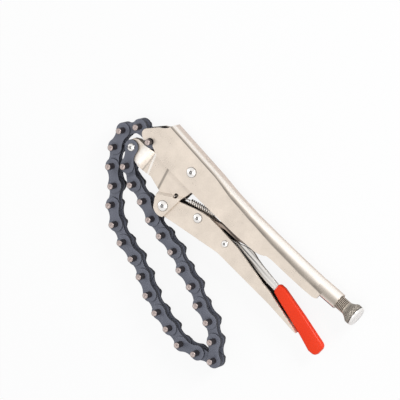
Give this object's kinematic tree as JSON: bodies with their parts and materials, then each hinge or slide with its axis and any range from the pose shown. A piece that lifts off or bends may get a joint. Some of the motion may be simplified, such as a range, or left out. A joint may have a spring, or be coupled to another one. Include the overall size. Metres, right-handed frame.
{
  "type": "chain clamp",
  "caption": "Locking chain clamp: folded steel handle, jaw and lever with a screw adjuster, and a pinned roller chain that loops round the work and hooks into the nose.",
  "frame": {"origin": "centre of the bounding box of the closed tool with its chain hooked", "axes": "+X along the handle toward the knob, +Y toward the handle's spine, +Z along the rivets toward the cheek that faces the camera"},
  "size_m": [0.2508, 0.145, 0.024],
  "materials": {
    "plated_steel": "satin nickel plating",
    "rivet_steel": "bright",
    "nickel_steel": "knurled and threaded, nickel plated",
    "spring_steel": "bright wire",
    "chain_steel": "blued, dark",
    "red_grip": "glossy dipped vinyl"
  },
  "bodies": {
    "fixed_handle": {"fixed_handle": "plated_steel", "jaw_pivot_rivet": "rivet_steel", "tension_spring": "spring_steel"},
    "jaw": {"jaw": "plated_steel", "lever_pivot_rivet": "rivet_steel", "chain_rivet": "rivet_steel"},
    "lever": {"lever": "plated_steel", "link_rivet": "rivet_steel", "release_rivet": "rivet_steel"},
    "toggle_link": {"toggle_link": "plated_steel"},
    "release_lever": {"release_lever": "plated_steel", "release_grip": "red_grip"},
    "adjusting_screw": {"adjusting_screw": "nickel_steel"},
    "adjusting_knob": {"adjusting_knob": "nickel_steel"},
    "chain_link_01": {"chain_link_01": "chain_steel"},
    "chain_link_02": {"chain_link_02": "chain_steel"},
    "chain_link_03": {"chain_link_03": "chain_steel"},
    "chain_link_04": {"chain_link_04": "chain_steel"},
    "chain_link_05": {"chain_link_05": "chain_steel"},
    "chain_link_06": {"chain_link_06": "chain_steel"},
    "chain_link_07": {"chain_link_07": "chain_steel"},
    "chain_link_08": {"chain_link_08": "chain_steel"},
    "chain_link_09": {"chain_link_09": "chain_steel"},
    "chain_link_10": {"chain_link_10": "chain_steel"},
    "chain_link_11": {"chain_link_11": "chain_steel"},
    "chain_link_12": {"chain_link_12": "chain_steel"},
    "chain_link_13": {"chain_link_13": "chain_steel"},
    "chain_link_14": {"chain_link_14": "chain_steel"},
    "chain_link_15": {"chain_link_15": "chain_steel"},
    "chain_link_16": {"chain_link_16": "chain_steel"},
    "chain_link_17": {"chain_link_17": "chain_steel"},
    "chain_link_18": {"chain_link_18": "chain_steel"},
    "chain_link_19": {"chain_link_19": "chain_steel"},
    "chain_link_20": {"chain_link_20": "chain_steel"},
    "chain_link_21": {"chain_link_21": "chain_steel"},
    "chain_link_22": {"chain_link_22": "chain_steel"},
    "chain_link_23": {"chain_link_23": "chain_steel"},
    "chain_link_24": {"chain_link_24": "chain_steel"},
    "chain_link_25": {"chain_link_25": "chain_steel"},
    "chain_link_26": {"chain_link_26": "chain_steel"},
    "chain_link_27": {"chain_link_27": "chain_steel"},
    "chain_link_28": {"chain_link_28": "chain_steel"}
  },
  "joints": [
    {"name": "lever_pivot", "type": "hinge", "parent": "jaw", "child": "lever", "pos_m": [-0.05193, 0.00529, 0], "axis": [0, 0, 1], "range_deg": [-23, 0]},
    {"name": "jaw_pivot", "type": "hinge", "parent": "fixed_handle", "child": "jaw", "pos_m": [-0.05213, 0.04419, 0], "axis": [0, 0, 1], "range_deg": [0, 4.46], "deforming": ["tension_spring"]},
    {"name": "toggle_pivot", "type": "hinge", "parent": "lever", "child": "toggle_link", "pos_m": [-0.02413, 0.02009, 0], "axis": [0, 0, 1], "range_deg": [0, 27]},
    {"name": "release_pivot", "type": "hinge", "parent": "lever", "child": "release_lever", "pos_m": [0.00657, 0.02299, 0], "axis": [0, 0, 1], "range_deg": [0, 6]},
    {"name": "knob_turn", "type": "hinge", "parent": "adjusting_screw", "child": "adjusting_knob", "pos_m": [0.10657, 0.06199, 0], "axis": [0.9914, 0.1305, 0], "range_deg": [-43.1, 1728.1]},
    {"name": "screw_slide", "type": "slide", "parent": "fixed_handle", "child": "adjusting_screw", "axis": [0.9914, 0.1305, 0], "range_m": [-0.00015, 0.006]},
    {"name": "chain_hinge_01", "type": "hinge", "parent": "jaw", "child": "chain_link_01", "pos_m": [-0.10463, 0.01759, 0], "axis": [0, 0, 1], "range_deg": [-8, 1]},
    {"name": "chain_hinge_02", "type": "hinge", "parent": "chain_link_01", "child": "chain_link_02", "pos_m": [-0.09718, 0.00357, 0], "axis": [0, 0, -1], "range_deg": [-1, 8]},
    {"name": "chain_hinge_03", "type": "hinge", "parent": "chain_link_02", "child": "chain_link_03", "pos_m": [-0.08267, -0.00288, 0], "axis": [0, 0, -1], "range_deg": [-2, 8]},
    {"name": "chain_hinge_04", "type": "hinge", "parent": "chain_link_03", "child": "chain_link_04", "pos_m": [-0.06709, -0.00591, 0], "axis": [0, 0, 1], "range_deg": [-8, 4]},
    {"name": "chain_hinge_05", "type": "hinge", "parent": "chain_link_04", "child": "chain_link_05", "pos_m": [-0.05208, -0.01108, 0], "axis": [0, 0, -1], "range_deg": [-6, 8]},
    {"name": "chain_hinge_06", "type": "hinge", "parent": "chain_link_05", "child": "chain_link_06", "pos_m": [-0.0364, -0.01356, 0], "axis": [0, 0, 1], "range_deg": [-8, 6]},
    {"name": "chain_hinge_07", "type": "hinge", "parent": "chain_link_06", "child": "chain_link_07", "pos_m": [-0.02061, -0.01522, 0], "axis": [0, 0, -1], "range_deg": [-4, 8]},
    {"name": "chain_hinge_08", "type": "hinge", "parent": "chain_link_07", "child": "chain_link_08", "pos_m": [-0.0056, -0.02039, 0], "axis": [0, 0, 1], "range_deg": [-8, 8]},
    {"name": "chain_hinge_09", "type": "hinge", "parent": "chain_link_08", "child": "chain_link_09", "pos_m": [0.00998, -0.02342, 0], "axis": [0, 0, -1], "range_deg": [-3.39, 5.42]},
    {"name": "chain_hinge_10", "type": "hinge", "parent": "chain_link_09", "child": "chain_link_10", "pos_m": [0.02437, -0.03013, 0], "axis": [0, 0, 1], "range_deg": [-2.78, 0.36]},
    {"name": "chain_hinge_11", "type": "hinge", "parent": "chain_link_10", "child": "chain_link_11", "pos_m": [0.0399, -0.03343, 0], "axis": [0, 0, -1], "range_deg": [-0.19, 1.36]},
    {"name": "chain_hinge_12", "type": "hinge", "parent": "chain_link_11", "child": "chain_link_12", "pos_m": [0.05306, -0.04231, 0], "axis": [0, 0, -1], "range_deg": [-0.28, 1.05]},
    {"name": "chain_hinge_13", "type": "hinge", "parent": "chain_link_12", "child": "chain_link_13", "pos_m": [0.06388, -0.05392, 0], "axis": [0, 0, 1], "range_deg": [-0.48, 0.95]},
    {"name": "chain_hinge_14", "type": "hinge", "parent": "chain_link_13", "child": "chain_link_14", "pos_m": [0.0495, -0.06063, 0], "axis": [0, 0, -1], "range_deg": [-2.22, 1.67]},
    {"name": "chain_hinge_15", "type": "hinge", "parent": "chain_link_14", "child": "chain_link_15", "pos_m": [0.03468, -0.06632, 0], "axis": [0, 0, 1], "range_deg": [-2.72, 3.62]},
    {"name": "chain_hinge_16", "type": "hinge", "parent": "chain_link_15", "child": "chain_link_16", "pos_m": [0.01892, -0.06438, 0], "axis": [0, 0, -1], "range_deg": [-5, 2.51]},
    {"name": "chain_hinge_17", "type": "hinge", "parent": "chain_link_16", "child": "chain_link_17", "pos_m": [0.00316, -0.06245, 0], "axis": [0, 0, 1], "range_deg": [-6.14, 6.14]},
    {"name": "chain_hinge_18", "type": "hinge", "parent": "chain_link_17", "child": "chain_link_18", "pos_m": [-0.0121, -0.05807, 0], "axis": [0, 0, -1], "range_deg": [-4.49, 2.81]},
    {"name": "chain_hinge_19", "type": "hinge", "parent": "chain_link_18", "child": "chain_link_19", "pos_m": [-0.0266, -0.05161, 0], "axis": [0, 0, 1], "range_deg": [-0.48, 3.67]},
    {"name": "chain_hinge_20", "type": "hinge", "parent": "chain_link_19", "child": "chain_link_20", "pos_m": [-0.04161, -0.04645, 0], "axis": [0, 0, -1], "range_deg": [-4.7, 1.19]},
    {"name": "chain_hinge_21", "type": "hinge", "parent": "chain_link_20", "child": "chain_link_21", "pos_m": [-0.05733, -0.04424, 0], "axis": [0, 0, -1], "range_deg": [-4.33, 0.56]},
    {"name": "chain_hinge_22", "type": "hinge", "parent": "chain_link_21", "child": "chain_link_22", "pos_m": [-0.07234, -0.03907, 0], "axis": [0, 0, 1], "range_deg": [-1.66, 3.31]},
    {"name": "chain_hinge_23", "type": "hinge", "parent": "chain_link_22", "child": "chain_link_23", "pos_m": [-0.08502, -0.02951, 0], "axis": [0, 0, -1], "range_deg": [-2.45, 1.85]},
    {"name": "chain_hinge_24", "type": "hinge", "parent": "chain_link_23", "child": "chain_link_24", "pos_m": [-0.09435, -0.01667, 0], "axis": [0, 0, 1], "range_deg": [-0.34, 0.447]},
    {"name": "chain_hinge_25", "type": "hinge", "parent": "chain_link_24", "child": "chain_link_25", "pos_m": [-0.10651, -0.00647, 0], "axis": [0, 0, -1], "range_deg": [-1.16, 2.31]},
    {"name": "chain_hinge_26", "type": "hinge", "parent": "chain_link_25", "child": "chain_link_26", "pos_m": [-0.11539, 0.00669, 0], "axis": [0, 0, 1], "range_deg": [-5.52, 5.52]},
    {"name": "chain_hinge_27", "type": "hinge", "parent": "chain_link_26", "child": "chain_link_27", "pos_m": [-0.11923, 0.0221, 0], "axis": [0, 0, -1], "range_deg": [-5, 8]},
    {"name": "chain_hinge_28", "type": "hinge", "parent": "chain_link_27", "child": "chain_link_28", "pos_m": [-0.11059, 0.03541, 0], "axis": [0, 0, -1], "range_deg": [-1.5, 3]}
  ],
  "couplings": [
    {"joint": "jaw_pivot", "follows": "lever_pivot", "ratio": -0.1935},
    {"joint": "toggle_pivot", "follows": "lever_pivot", "ratio": -1.173},
    {"joint": "knob_turn", "follows": "screw_slide", "rad_per_m": 5026.5},
    {"joint": "chain_hinge_10", "follows": "chain_hinge_01", "ratio": 0.34447},
    {"joint": "chain_hinge_19", "follows": "chain_hinge_01", "ratio": -0.45685},
    {"joint": "chain_hinge_11", "follows": "chain_hinge_02", "ratio": 0.16797},
    {"joint": "chain_hinge_21", "follows": "chain_hinge_02", "ratio": -0.53922},
    {"joint": "chain_hinge_12", "follows": "chain_hinge_03", "ratio": 0.12882},
    {"joint": "chain_hinge_20", "follows": "chain_hinge_03", "ratio": -0.58534},
    {"joint": "chain_hinge_13", "follows": "chain_hinge_04", "ratio": -0.11627},
    {"joint": "chain_hinge_22", "follows": "chain_hinge_04", "ratio": -0.41081},
    {"joint": "chain_hinge_14", "follows": "chain_hinge_05", "ratio": -0.27522},
    {"joint": "chain_hinge_23", "follows": "chain_hinge_05", "ratio": -0.3043},
    {"joint": "chain_hinge_15", "follows": "chain_hinge_06", "ratio": -0.45059},
    {"joint": "chain_hinge_24", "follows": "chain_hinge_06", "ratio": -0.053393},
    {"joint": "chain_hinge_16", "follows": "chain_hinge_07", "ratio": -0.62253},
    {"joint": "chain_hinge_25", "follows": "chain_hinge_07", "ratio": 0.28576},
    {"joint": "chain_hinge_17", "follows": "chain_hinge_08", "ratio": -0.7653},
    {"joint": "chain_hinge_26", "follows": "chain_hinge_08", "ratio": 0.68783},
    {"joint": "chain_hinge_09", "follows": "chain_hinge_27", "ratio": 0.67462},
    {"joint": "chain_hinge_18", "follows": "chain_hinge_27", "ratio": -0.55838}
  ]
}
